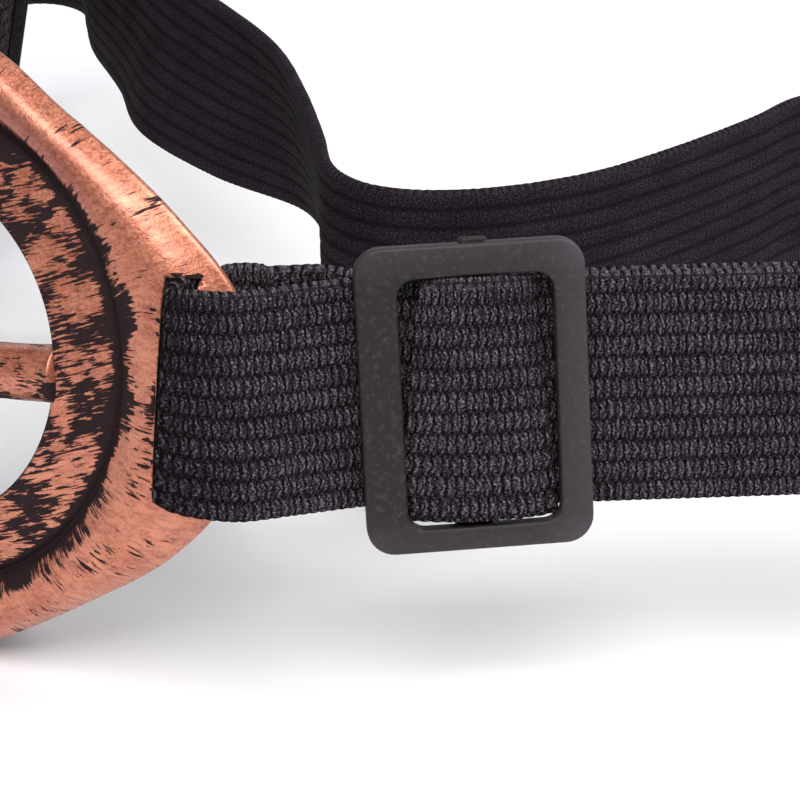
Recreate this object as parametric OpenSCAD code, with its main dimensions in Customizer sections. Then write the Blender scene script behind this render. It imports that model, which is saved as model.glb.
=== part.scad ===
// Steampunk goggles: two moulded eyecups, a nose bridge and a woven elastic
// strap with a slider and a metal keeper at each side.
// Millimetres, +Z up. The goggles look towards -Y and stand on their rims.
// The wearer's left eyecup is on +X.

/* [Eyecups] */
// Radius of the eye opening
hole_r = 20.0; // [17:0.1:23]
// Radius of the groove between the cone and the border
groove_r = 27.5; // [25:0.1:30]
// Front edge of the opening ahead of the groove
cone_rise = 2.1; // [1:0.1:6]
// Height of the rounded border
border_rise = 1.9; // [0.5:0.1:3]
// Wall thickness of the moulding
wall = 2.4; // [1.8:0.1:3]
// Outside radius of the tube behind the front plate
tube_r = 28.3; // [27.9:0.1:31]
// Back end of the tube behind the opening's front edge
tube_back = 10.5; // [10:0.5:20]
// Outward turn of each eyecup
splay = 39; // [20:1:45]
// Backward lean of each eyecup
lean = 9; // [0:0.5:12]
// Eyecup centre from the nose line
cup_x = 40.6; // [36:0.1:46]
// Eyecup centre ahead of the strap slot
cup_y = -22.2; // [-30:0.1:-15]
// Height of the eyecup centre
cup_z = 36.3; // [34:0.1:40]
// Radius of the moulded cross bars
bar_r = 3.1; // [2:0.1:4]
// Turn of the cross, temple end up
cross_turn = 8; // [0:0.5:15]
// Drop of the cross below the opening's centre
cross_drop = 2.8; // [0:0.1:5]

/* [Strap] */
// Width of the woven elastic
strap_w = 25.4; // [20:0.1:30]
// Thickness of the woven elastic
strap_t = 1.5; // [1:0.1:2]
// Height of the strap's centreline at the sliders
strap_z = 34.7; // [30:0.1:38]
// Lean of the strap ends towards the wearer
strap_lean = 11; // [0:0.5:12]
// Direction of the left strap end, from +X
near_turn = 73; // [60:1:90]
// Direction of the right strap end, from -X
far_turn = 17; // [10:0.5:40]
// Distance between the two layers' centres
layer_gap = 1.9; // [1.6:0.1:2.4]
// End of the doubled strap, from the slot
doubled_end = 78; // [70:1:90]

/* [Slider] */
// Slider centre from the slot
slider_d = 33.8; // [30:0.1:40]
// Slider length along the strap
slider_l = 24.5; // [20:0.1:30]
// Slider height
slider_h = 33.3; // [30:0.1:40]
// Slider frame thickness
slider_t = 2.2; // [1.5:0.1:3]
// Turn of the slider's frame in its own plane
slider_roll = 2; // [0:0.5:4]
// Keeper clip's near edge from the slot
keeper_d = 70; // [60:0.1:72]
// Keeper clip's width
keeper_w = 6; // [4:0.1:10]

/* [Hidden] */
$fn = 64;
e = 0.02;
slot_x = 62.7;
far_shift = 11;
org = [-27.7, 55.5];
lens_r = 22.8;
around = 72;
// outline of the eyecup border, radius every 15 degrees from the temple tip
rim_top = [41.5, 40.5, 37, 34.3, 33.2, 34.5, 36, 36.9, 37.4, 37.5, 37.2, 36.7, 36.3];
rim_low = [41.5, 40.6, 38, 35.3, 34.6, 35.6, 36.5, 37.3, 37.8, 37.9, 37.5, 36.9, 36.3];
rear_route = [
    [86.6, 74.6, 34.9, 11], [89.5, 85, 34.8, 9], [91.8, 96, 33.6, 5], [92.5, 109, 30.2, 2],
    [90.5, 124, 24.6, 0], [83.5, 139, 18.4, 0], [72.5, 150, 14, 0], [58.5, 155, 13, 0],
    [43.5, 155, 13, 0], [30.5, 149, 16.4, 0], [22.5, 138, 22.4, 0], [20.5, 125, 28.4, 0],
    [22.5, 112, 33, 0], [27.5, 98.6, 34.5, 0], [32.6, 89.3, 34.5, 0], [37.3, 79.4, 34.5, 0],
    [41.1, 70.3, 34.5, 0], [44.1, 62, 34.5, 0], [45.5, 54.6, 34.5, 0], [45.7, 47.5, 34.5, 0],
    [44.5, 41, 34.5, 0], [41.5, 35.6, 34.5, 0], [36.5, 32.5, 34.5, 0],
    [28.9, 32.2, 34.5, 0], [16.7, 36.6, 34.5, 5], [-2.5, 42.2, 34.5, 10],
    [-21.5, 45.5, 34.5, 10], [-42.5, 41.8, 34.5, -9], [-64, 39.8, 34.5, -19],
    [-88, 41.3, 34.5, -9], [-112, 42.2, 34.5, -3], [-128, 44.3, 34.6, 2],
    [-138, 45.5, 34.7, 6], [-144.5, 43, 34.8, 9], [-146.3, 38.5, 34.9, 11],
    [-143, 34.8, 34.9, 11], [-138.0, 33.0, 34.9, 11]
];

// Frames

module placed() translate([-org[0], -org[1], 0]) children();

// the eyecup frame: x to the temple, y up, z forwards, centred on the opening
module left_cup() placed() translate([cup_x, cup_y, cup_z]) rotate([0, 0, splay])
    rotate([-lean, 0, 0]) rotate([90, 0, 0]) children();

module right_cup() placed() mirror([1, 0, 0]) translate([cup_x, cup_y, cup_z])
    rotate([0, 0, splay]) rotate([-lean, 0, 0]) rotate([90, 0, 0]) children();

// the strap frame: x along the strap from the slot, y towards the wearer
module left_end() placed() translate([slot_x, 0, strap_z]) rotate([0, 0, near_turn])
    rotate([-strap_lean, 0, 0]) children();

module right_end() placed() mirror([1, 0, 0]) translate([slot_x, far_shift, strap_z])
    rotate([0, 0, far_turn]) rotate([-strap_lean, 0, 0]) children();

// Shapes

function wrap(a) = (a + 180) % 360 - 180;
function knot(i, t, o) = i < 0 ? o[-i] : i > 12 ? o[24 - i] : t[i];
function smooth(a, b, c, d, t) = 0.5 * (2 * b + (c - a) * t
    + (2 * a - 5 * b + 4 * c - d) * t * t + (3 * b - a - 3 * c + d) * t * t * t);
function rim_at(w, r, o) = let (i = floor(min(w, 11.999)), t = w - i)
    smooth(knot(i - 1, r, o), knot(i, r, o), knot(i + 1, r, o), knot(i + 2, r, o), t);
function rim_r(a) = let (w = wrap(a)) w < 0 ? rim_at(-w / 15, rim_low, rim_top)
    : rim_at(w / 15, rim_top, rim_low);
// how far the border lies back beyond the groove
function swept(d, c) = d <= 0 ? 0 : c > 0 ? -0.1 * d * c - 0.014 * pow(d * c, 2)
    : -0.03 * pow(d * c, 2);

// closed section of the front plate at one angle: [radius, forward]
function section(w) = [
    [hole_r, -0.5], [hole_r + 0.7, 0], [hole_r + 3.6, -cone_rise * 0.42],
    [groove_r - 0.5, -cone_rise + 0.2], [groove_r, -cone_rise - 0.4],
    [groove_r + 0.5, -cone_rise + 0.3],
    [groove_r + 0.28 * w, -cone_rise + 0.85 * border_rise],
    [groove_r + 0.52 * w, -cone_rise + border_rise],
    [groove_r + 0.78 * w, -cone_rise + 0.7 * border_rise],
    [groove_r + 0.95 * w, -cone_rise - 0.1], [groove_r + w, -cone_rise - 1.0],
    [groove_r + w - 0.2, -cone_rise - 1.9], [groove_r + w - 1.2, -cone_rise - 2.3],
    [groove_r + 0.5 * w, -cone_rise - 0.9], [groove_r + 0.1, -cone_rise - wall - 0.3],
    [hole_r + 3.6, -cone_rise * 0.42 - wall], [hole_r + 0.4, -wall - 0.3],
    [hole_r, -wall]
];

module plate() {
    n = len(section(8));
    pts = [for (i = [0:around - 1]) let (a = i * 360 / around, w = rim_r(a) - groove_r)
        for (p = section(w))
            [p[0] * cos(a), p[0] * sin(a), p[1] + swept(p[0] - groove_r, cos(a))]];
    polyhedron(points = pts, faces = [for (i = [0:around - 1]) for (j = [0:n - 1])
        let (i2 = (i + 1) % around, j2 = (j + 1) % n)
            for (f = [[i * n + j, i2 * n + j2, i * n + j2],
                      [i * n + j, i2 * n + j, i2 * n + j2]]) f]);
}

// ribbon along a route of [x, y, z, lean, narrowed by, shear] points
function along(r, k) = [for (i = [0:len(r) - 2]) for (j = [0:k - 1])
    let (a = r[max(0, i - 1)], b = r[i], c = r[i + 1], d = r[min(len(r) - 1, i + 2)],
         t = j / k) [for (m = [0:len(a) - 1]) smooth(a[m], b[m], c[m], d[m], t)]];
function route(r, k) = concat(along(r, k), [r[len(r) - 1]]);

module ribbon(r, w, t) {
    n = len(r);
    pts = [for (i = [0:n - 1])
        let (p = r[i], q = r[min(n - 1, i + 1)] - r[max(0, i - 1)],
             g = [q[0], q[1]] / norm([q[0], q[1]]), h = [-g[1], g[0]],
             k = len(p) > 4 ? p[4] : 0, c = len(p) > 5 ? p[5] : 0,
             v = [h[0] * sin(p[3]) + c * g[0], h[1] * sin(p[3]) + c * g[1], cos(p[3])]
                 * (w - k) / 2,
             m = [h[0] * cos(p[3]), h[1] * cos(p[3]), -sin(p[3])] * t / 2)
        for (s = [[-1, -1], [1, -1], [1, 1], [-1, 1]])
            [p[0], p[1], p[2]] + s[0] * v + s[1] * m];
    polyhedron(points = pts, faces = concat([[0, 1, 2], [0, 2, 3]],
        [for (i = [0:n - 2]) for (j = [0:3]) let (a = i * 4 + j, b = i * 4 + (j + 1) % 4)
            for (f = [[a, a + 4, b], [b, a + 4, b + 4]]) f],
        [let (c = 4 * n - 4) [c, c + 2, c + 1], let (c = 4 * n - 4) [c, c + 3, c + 2]]));
}

module rounded(l, h, r) {
    square([l - 2 * r, h], center = true);
    square([l, h - 2 * r], center = true);
    for (x = [-1, 1]) for (y = [-1, 1])
        translate([x * (l / 2 - r), y * (h / 2 - r)]) circle(r = r);
}

// Eyecup

module eyecup_body() {
    difference() {
        union() {
            plate();
            rotate_extrude() polygon([[tube_r, -cone_rise - 1.2], [tube_r, -tube_back],
                [tube_r - 2.1, -tube_back], [tube_r - 2.1, -5.2],
                [21.2, -4.6], [21.2, -2.2], [24, -3.2], [groove_r, -cone_rise - 1.4]]);
            translate([0, -cross_drop, 0]) rotate([0, 0, cross_turn]) rotate([0, 90, 0])
                translate([1.7, 0, -hole_r - 1.3]) cylinder(r = bar_r, h = 2 * hole_r + 2.6);
            rotate([0, 0, cross_turn]) rotate([-90, 0, 0])
                translate([0, 1.7, -hole_r - 1.6]) cylinder(r = bar_r, h = 2 * hole_r + 3.2);
        }
        translate([0, 0, -29.6]) cylinder(r = lens_r + 0.2, h = 25);
        translate([32.4, -11.6, -20]) cube([3.3, 24.9, 30]);
        for (y = [-3.6, 3.6]) translate([-32.6, y, -15]) cylinder(r = 1.5, h = 20);
    }
}

module floor_cut() translate([-400, -400, -20]) cube([800, 800, 20]);

module left_eyecup() color("#c67a5c") difference() {
    left_cup() eyecup_body();
    floor_cut();
}

module right_eyecup() color("#c67a5c") difference() {
    right_cup() eyecup_body();
    floor_cut();
}

module lens() translate([0, 0, -6.6]) cylinder(r = lens_r, h = 2.0);
module left_lens() color("#dfe6ea") left_cup() lens();
module right_lens() color("#dfe6ea") right_cup() lens();

module lens_ring() translate([0, 0, -9.0]) difference() {
    cylinder(r = 25.9, h = 2.4);
    translate([0, 0, -1]) cylinder(r = 20.8, h = 5);
}
module left_lens_ring() color("#26262b") left_cup() lens_ring();
module right_lens_ring() color("#26262b") right_cup() lens_ring();

module face_pad() rotate_extrude() translate([tube_r - 1.5, -tube_back - 1.5]) {
    square([3.6, 0.6], center = true);
    square([1.2, 3.0], center = true);
    for (x = [-1, 1]) for (y = [-1, 1]) translate([0.6 * x, 0.3 * y]) circle(r = 1.2);
}
module left_face_pad() color("#1d1d20") left_cup() face_pad();
module right_face_pad() color("#1d1d20") right_cup() face_pad();

// Bridge

function cup_w(l, f) = [cup_x + l * cos(splay) + f * sin(splay),
    cup_y + l * sin(splay) - f * cos(splay)];
function band(x) = let (a = abs(x), s = x < 0 ? -1 : 1, p = a == 4 ? cup_w(-29.6, 0.5)
    : a == 3 ? cup_w(-32.6, 0.4) : a == 2 ? cup_w(-36.4, -1.6) : [3.4, -43.8])
    [s * p[0], p[1], cup_z, -lean];

module bridge_strap() color("#1d1d20") difference() {
    placed() ribbon(route([for (x = [4, 3, 2, 1, -1, -2, -3, -4]) band(x)], 4), 14, 1.8);
    left_cup() rivet_holes();
    right_cup() rivet_holes();
}

module rivet_holes() for (y = [-3.6, 3.6]) translate([-32.6, y, -8])
    cylinder(r = 1.5, h = 14);

module rivets() for (y = [-3.6, 3.6]) translate([-32.6, y, 0]) {
    translate([0, 0, -6.8]) cylinder(r = 1.4, h = 8.6);
    translate([0, 0, -6.8]) cylinder(r = 1.9, h = 0.8);
    intersection() {
        translate([0, 0, 0.0]) sphere(r = 3.2);
        translate([-4, -4, 1.6]) cube([8, 8, 3]);
    }
}
module left_bridge_rivets() color("#c67a5c") left_cup() rivets();
module right_bridge_rivets() color("#c67a5c") right_cup() rivets();

// Strap

function near_w(d, y) = [slot_x + d * cos(near_turn) - y * sin(near_turn),
    d * sin(near_turn) + y * cos(near_turn)];
function far_w(d, y) = [slot_x + d * cos(far_turn) - y * sin(far_turn),
    far_shift + d * sin(far_turn) + y * cos(far_turn)];
g = layer_gap / 2;
function at(p, z, a, k = 0, c = 0) = [p[0], p[1], z, a, k, c];
function on_near(d, y, a, up = 0, k = 0) =
    at(near_w(d, y * cos(strap_lean)), strap_z - y * sin(strap_lean) + up, a, k);
function on_far(d, y, a, up = 0, k = 0) =
    at(far_w(d, y * cos(strap_lean)), strap_z - y * sin(strap_lean) + up, a, k);
// the loop through the slot in the eyecup's plan: inside the wing, through the
// slot, over the wing; [along, forward, lean, raised by, narrowed by, shear]
through = [
    [36.6, -7.9, -9, 2.1, 1.0, -0.08], [35.1, -6.6, -4, 2.2, 1.3, -0.14],
    [34.25, -5, 0, 2.2, 1.3, -0.16], [34.05, -3.2, 0, 2.2, 1.3, -0.16],
    [34.1, -1.7, 0, 2.2, 1.3, -0.16], [34.8, -0.6, 4, 2.1, 1.1, -0.1],
    [36.3, -0.8, 9, 1.8, 0.8, -0.04]
];
near_loop = concat([[40.6, -11.8, -11, 1.3, 0.3, 0], [38.4, -9.9, -11, 1.8, 0.6, -0.04]],
    through, [[38.3, -2.0, 10, 1.4, 0.5, -0.02], [40.5, -3.9, 11, 0.95, 0.5, 0],
    [42.7, -6.4, 11, 0.75, 0.5, 0], [44.7, -9.1, 11, 0.6, 0.4, 0]]);
far_loop = concat([[53, -7.2, -11, 0.3, 0, 0], [48, -9.3, -11, 0.7, 0.1, 0],
    [44.5, -10.4, -11, 1.2, 0.3, 0], [41.2, -10.6, -11, 1.6, 0.4, 0],
    [38.6, -9.7, -10, 1.9, 0.7, -0.04]],
    through, [[38.3, -1.9, 10, 1.4, 0.5, -0.02], [40.6, -3.7, 11, 1.0, 0.5, 0],
    [43.2, -5.8, 11, 0.8, 0.4, 0], [46, -6.9, 11, 0.6, 0.3, 0], [49.5, -6.5, 11, 0.4, 0.2, 0],
    [54, -4.8, 11, 0.2, 0.1, 0]]);
function looped(l) = [for (p = l) at(cup_w(p[0], p[1]), strap_z + p[3], p[2], p[4], p[5])];
near_route = concat([for (d = [doubled_end, 60, 40, 30]) on_near(d, g, -strap_lean)],
    [on_near(24, 1.5, -strap_lean, 0.4), on_near(19, 2.2, -strap_lean, 0.8),
     on_near(14.5, 2.4, -strap_lean, 0.9, 0.2)],
    looped(near_loop), [on_near(22.5, -g, strap_lean, 0.35, 0.2),
     on_near(27, -g, strap_lean, 0.1)],
    [for (d = [34, 46, 62, doubled_end]) on_near(d, -g, strap_lean)]);
far_route = concat([for (d = [doubled_end, 60, 40, 30, 22]) on_far(d, g, -strap_lean)],
    looped(far_loop),
    [for (d = [22.5, 27, 34, 46, 62, doubled_end]) on_far(d, -g, strap_lean)]);

module left_strap() color("#2b282c") placed()
    ribbon(route(near_route, 3), strap_w, strap_t);
module right_strap() color("#2b282c") placed() mirror([1, 0, 0])
    ribbon(route(far_route, 3), strap_w, strap_t);
module rear_strap() color("#2b282c") placed()
    ribbon(route(rear_route, 3), strap_w, strap_t);

// Sliders

module slider() {
    front = -g - strap_t / 2 - 0.4;
    translate([slider_d, front, 0]) rotate([0, -slider_roll, 0]) {
        rotate([90, 0, 0]) difference() {
            linear_extrude(slider_t) rounded(slider_l, slider_h, 3);
            translate([0.55, -0.45, -1]) linear_extrude(slider_t + 2)
                rounded(slider_l - 7.9, slider_h - 6.1, 2);
        }
        translate([-2, -1.7, slider_h / 2 - 0.3]) cube([3, 1.2, 0.9]);
    }
    for (z = [-14.9, 13.1]) translate([slider_d - 2, front - 0.4, z])
        cube([4, -front + 4.6, 1.3]);
    translate([slider_d - 2, 2.0, -14.9]) cube([4, 2.2, 29.3]);
}
module left_slider() color("#332b2e") left_end() slider();
module right_slider() color("#332b2e") right_end() slider();

// the part of the strap that rises over the slider's middle bar
module slider_fold() {
    r = [for (p = [[-6.7, -2.5], [-5.6, -3.1], [-3.2, -3.9], [0, -4.2], [3.4, -4.0],
        [6.2, -3.2], [7.4, -2.5]]) [slider_d + p[0], p[1], 0, 0]];
    ribbon(route(r, 3), strap_w - 0.9, 1.3);
}
module left_slider_fold() color("#2b282c") left_end() slider_fold();
module right_slider_fold() color("#2b282c") right_end() slider_fold();

// Keepers

module keeper() translate([keeper_d, 0, 0]) difference() {
    union() {
        translate([0, -2.7, -13.7]) cube([keeper_w, 5.4, 27.4]);
        translate([-0.8, -2.7, 13.0]) cube([keeper_w + 1.6, 2.2, 0.9]);
    }
    translate([-1, -2.0, -13.0]) cube([keeper_w + 2, 4.0, 26]);
}
module left_keeper() color("#b87a58") left_end() keeper();
module right_keeper() color("#b87a58") right_end() keeper();

// Output

left_eyecup();
right_eyecup();
left_lens();
right_lens();
left_lens_ring();
right_lens_ring();
left_face_pad();
right_face_pad();
bridge_strap();
left_bridge_rivets();
right_bridge_rivets();
left_strap();
right_strap();
rear_strap();
left_slider();
right_slider();
left_slider_fold();
right_slider_fold();
left_keeper();
right_keeper();
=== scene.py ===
"""Looks of the steampunk goggles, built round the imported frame.

Every visual piece is a numpy surface laid on a grid, in the part's own axes,
and takes its finish from a small library of procedural shaders. Lengths are in
millimetres until a mesh is made, which turns them into metres.
"""

import logging
import math
from dataclasses import dataclass, field
from enum import Enum
from typing import ClassVar

import bmesh
import bpy
import numpy as np
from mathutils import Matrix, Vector


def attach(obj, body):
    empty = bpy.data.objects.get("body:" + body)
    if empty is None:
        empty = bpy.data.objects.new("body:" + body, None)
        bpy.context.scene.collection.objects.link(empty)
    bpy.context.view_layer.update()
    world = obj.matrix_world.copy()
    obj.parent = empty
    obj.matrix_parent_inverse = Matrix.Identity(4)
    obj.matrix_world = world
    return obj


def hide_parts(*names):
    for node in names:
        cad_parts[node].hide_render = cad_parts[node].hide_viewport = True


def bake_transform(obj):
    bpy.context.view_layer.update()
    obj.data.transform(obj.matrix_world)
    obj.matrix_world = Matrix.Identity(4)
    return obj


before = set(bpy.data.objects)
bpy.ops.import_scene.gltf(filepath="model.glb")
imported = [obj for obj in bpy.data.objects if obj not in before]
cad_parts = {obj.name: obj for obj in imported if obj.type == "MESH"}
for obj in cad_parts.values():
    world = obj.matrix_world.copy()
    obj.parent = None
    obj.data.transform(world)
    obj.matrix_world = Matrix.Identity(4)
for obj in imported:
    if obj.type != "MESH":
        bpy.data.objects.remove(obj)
LOG = logging.getLogger("goggles")
MM = 0.001
ORIGIN = np.array([-27.7, 55.5, 0.0])  # the part's origin from the nose line and the slot, mm
STRAP_WIDTH = 25.4
FOLD_WIDTH = 26.6  # the strap as it fills the slider's window
ROWS = 11  # rows of stitches across the strap
STITCH = 1.1  # length of a stitch along it, mm
LEVEL = 0.75  # the weave's height that lies on the strap's own face


class Side(Enum):
    """Which eyecup a piece belongs to; the value is the sign of X."""

    LEFT = 1
    RIGHT = -1

    @property
    def label(self) -> str:
        """The prefix of this side's node names."""
        return self.name.lower()

    @property
    def body(self) -> str:
        """The CAD body that carries this side."""
        return f"{self.label}_side"


# ---------------------------------------------------------------- placement


def turned(a: np.ndarray, b: np.ndarray, degrees: float, at: tuple = (0.0, 0.0)) -> tuple:
    """The pair a, b turned by an angle in degrees about the point at."""
    c, s = math.cos(math.radians(degrees)), math.sin(math.radians(degrees))
    return at[0] + a * c - b * s, at[1] + a * s + b * c


@dataclass(frozen=True)
class CupFrame:
    """Where an eyecup stands: x to the temple, y up, z forwards."""

    side: Side
    centre: tuple = (40.6, -22.2, 36.3)
    splay: float = 39.0
    lean: float = 9.0

    def place(self, points: np.ndarray) -> np.ndarray:
        """Puts cup points into the row frame.

        Args:
            points: array of points in the cup's own axes, mm.

        Returns:
            The same points in the row frame, mm.
        """
        y, z = turned(-points[..., 2], points[..., 1], -self.lean)
        x, y = turned(points[..., 0], y, self.splay)
        out = np.stack([x, y, z], -1) + np.array(self.centre)
        out[..., 0] *= self.side.value
        return out - ORIGIN

    def plan(self, along: float, forward: float) -> tuple:
        """The plan place of a point so far to the temple and forwards, before mirroring."""
        return turned(along, -forward, self.splay, self.centre)


@dataclass(frozen=True)
class StrapFrame:
    """Where a strap end leaves its slot: x along the strap, y inwards, z up."""

    side: Side
    slot: tuple = (62.7, 0.0, 34.7)
    turn: float = 73.0
    lean: float = 11.0

    def plan(self, along: float, inward: float) -> tuple:
        """The plan place of a point so far along the strap and inwards, before mirroring."""
        return turned(along, inward, self.turn, self.slot)

    def place(self, points: np.ndarray) -> np.ndarray:
        """Puts strap-end points into the row frame.

        Args:
            points: array of points in the strap end's axes, mm.

        Returns:
            The same points in the row frame, mm.
        """
        inward, height = turned(points[..., 1], points[..., 2], -self.lean)
        x, y = self.plan(points[..., 0], inward)
        return np.stack([x * self.side.value, y, height + self.slot[2]], -1) - ORIGIN


CUPS = {s: CupFrame(s) for s in Side}
ENDS = {
    Side.LEFT: StrapFrame(Side.LEFT),
    Side.RIGHT: StrapFrame(Side.RIGHT, slot=(62.7, 11.0, 34.7), turn=17.0),
}


# ------------------------------------------------------------------- meshes


def smooth_noise(a: np.ndarray, b: np.ndarray, seed: int) -> np.ndarray:
    """Smooth noise as a sum of sines whose directions come from one seed.

    Args:
        a: first coordinate.
        b: second coordinate, of the same shape.
        seed: chooses the directions and phases.

    Returns:
        Values in about -1 to 1.
    """
    rng = np.random.default_rng(seed)
    out = np.zeros(np.broadcast(a, b).shape)
    for _ in range(7):
        turn, phase = rng.uniform(0, 2 * math.pi, 2)
        pitch = rng.uniform(0.6, 1.7)
        out += np.sin(pitch * (a * math.cos(turn) + b * math.sin(turn)) + phase)
    return out / 4.0


def catmull(a: np.ndarray, b: np.ndarray, c: np.ndarray, d: np.ndarray, t: np.ndarray):
    """A Catmull-Rom curve from b to c at t, with a before them and d after."""
    return 0.5 * (
        2 * b + (c - a) * t + (2 * a - 5 * b + 4 * c - d) * t**2 + (3 * b - a - 3 * c + d) * t**3
    )


def span(a: float, b: float, step: float) -> np.ndarray:
    """Evenly spaced numbers from a to b, both included, about a step apart."""
    return np.linspace(a, b, max(2, int(round(abs(b - a) / step)) + 1))


def distances(points: np.ndarray) -> np.ndarray:
    """How far each point lies along a line of points, in straight steps."""
    return np.concatenate([[0], np.cumsum(np.linalg.norm(np.diff(points, axis=0), axis=1))])


def resample(route: np.ndarray, step: float) -> np.ndarray:
    """Runs a Catmull-Rom curve through a route and spaces it evenly.

    Args:
        route: control points, one per row; the first three columns are a place.
        step: distance between the new points, mm.

    Returns:
        Points along the curve with the same columns.
    """
    pad = np.vstack([route[:1], route, route[-1:]])
    t = np.linspace(0, 1, 40, endpoint=False)[:, None]
    fine = np.vstack([catmull(*pad[i : i + 4], t) for i in range(len(pad) - 3)] + [route[-1:]])
    run = distances(fine[:, :3])
    even = span(0, run[-1], step)
    return np.stack([np.interp(even, run, column) for column in fine.T], -1)


@dataclass
class Grid:
    """A surface laid on a grid of points.

    points is rows by columns by 3, in the row frame, mm. The columns close on
    themselves, and close_rows joins the last row to the first. uv holds one
    pair per point, and wrap is what the pair gains across the two seams.
    values are named attributes, one number per point.
    """

    points: np.ndarray
    uv: np.ndarray
    close_rows: bool = False
    wrap: tuple = (0.0, 0.0)
    cap_rows: bool = False
    values: dict = field(default_factory=dict)

    def faces(self) -> np.ndarray:
        """Quads, as four point numbers a row; each joins neighbours in both directions."""
        n, m = self.points.shape[:2]
        i, j = np.meshgrid(np.arange(n if self.close_rows else n - 1), np.arange(m), indexing="ij")
        i2, j2 = (i + 1) % n, (j + 1) % m
        return np.stack([i * m + j, i2 * m + j, i2 * m + j2, i * m + j2], -1).reshape(-1, 4)

    def corners_uv(self) -> np.ndarray:
        """UV pairs at every face corner, faces by 4 by 2, with the seams' steps added."""
        n, m = self.points.shape[:2]
        f = self.faces()
        uv = self.uv.reshape(-1, 2)[f].copy()
        for k, (line, last) in enumerate(((f // m, n - 1), (f % m, m - 1))):
            uv[..., k] += np.where((line[:, :1] == last) & (line == 0), self.wrap[k], 0)
        return uv

    def build(self, name: str, material: bpy.types.Material) -> bpy.types.Object:
        """Makes the mesh object.

        Args:
            name: the piece's name.
            material: what it is made of.

        Returns:
            The new object, with smooth shading.
        """
        n, m = self.points.shape[:2]
        verts = self.points.reshape(-1, 3) * MM
        quads = self.faces()
        uv = self.corners_uv().reshape(-1, 2)
        if signed_volume(verts, quads) < 0:
            quads = quads[:, ::-1]
            uv = uv.reshape(-1, 4, 2)[:, ::-1].reshape(-1, 2)
        mesh = bpy.data.meshes.new(name)
        mesh.vertices.add(len(verts))
        mesh.vertices.foreach_set("co", verts.astype(np.float32).ravel())
        mesh.loops.add(quads.size)
        mesh.loops.foreach_set("vertex_index", quads.astype(np.int32).ravel())
        mesh.polygons.add(len(quads))
        mesh.polygons.foreach_set("loop_start", np.arange(0, quads.size, 4, dtype=np.int32))
        mesh.polygons.foreach_set("use_smooth", np.ones(len(quads), bool))
        layer = mesh.uv_layers.new(name="lay")
        layer.data.foreach_set("uv", uv.astype(np.float32).ravel())
        for key, value in self.values.items():
            data = mesh.attributes.new(key, "FLOAT", "POINT")
            data.data.foreach_set("value", np.broadcast_to(value, (n, m)).astype(np.float32).ravel())
        mesh.update(calc_edges=True)
        if self.cap_rows:
            close_ends(mesh, n, m)
        mesh.validate(clean_customdata=False)
        mesh.materials.append(material)
        LOG.info("%s: %d faces", name, len(mesh.polygons))
        return show(name, mesh)


def show(name: str, data: bpy.types.ID) -> bpy.types.Object:
    """Puts a mesh, a lamp or a camera into the scene as a new object."""
    obj = bpy.data.objects.new(name, data)
    bpy.context.scene.collection.objects.link(obj)
    return obj


def signed_volume(verts: np.ndarray, quads: np.ndarray) -> float:
    """Six times the volume that quads enclose, negative when they are inside out."""
    a, b, c, d = (verts[quads[:, k]] for k in range(4))
    return float(sum(np.einsum("ij,ij->", a, np.cross(*pair)) for pair in ((b, c), (c, d))))


def close_ends(mesh: bpy.types.Mesh, n: int, m: int) -> None:
    """Closes the first and last row of a tube with one face each.

    Args:
        mesh: the tube's mesh.
        n: its rows.
        m: its columns.
    """
    bm = bmesh.new()
    bm.from_mesh(mesh)
    bm.verts.ensure_lookup_table()
    for ring in (range(m), range((n - 1) * m, n * m)):
        bm.faces.new([bm.verts[k] for k in ring])
    bmesh.ops.recalc_face_normals(bm, faces=bm.faces)
    bm.to_mesh(mesh)
    bm.free()


def ramp(x: np.ndarray, a: float, b: float) -> np.ndarray:
    """A smooth step from 0 at a to 1 at b."""
    t = np.clip((x - a) / (b - a), 0, 1)
    return t * t * (3 - 2 * t)


def closed_curve(points: np.ndarray, count: int) -> np.ndarray:
    """A closed Catmull-Rom curve through points.

    Args:
        points: corner points along the second last axis.
        count: new points per corner.

    Returns:
        The curve, count times as many points.
    """
    a, c, d = (np.roll(points, k, -2) for k in (1, -1, -2))
    parts = [catmull(a, points, c, d, t) for t in np.arange(count) / count]
    return np.stack(parts, -2).reshape(*points.shape[:-2], -1, points.shape[-1])


# --------------------------------------------------------------- materials


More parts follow.
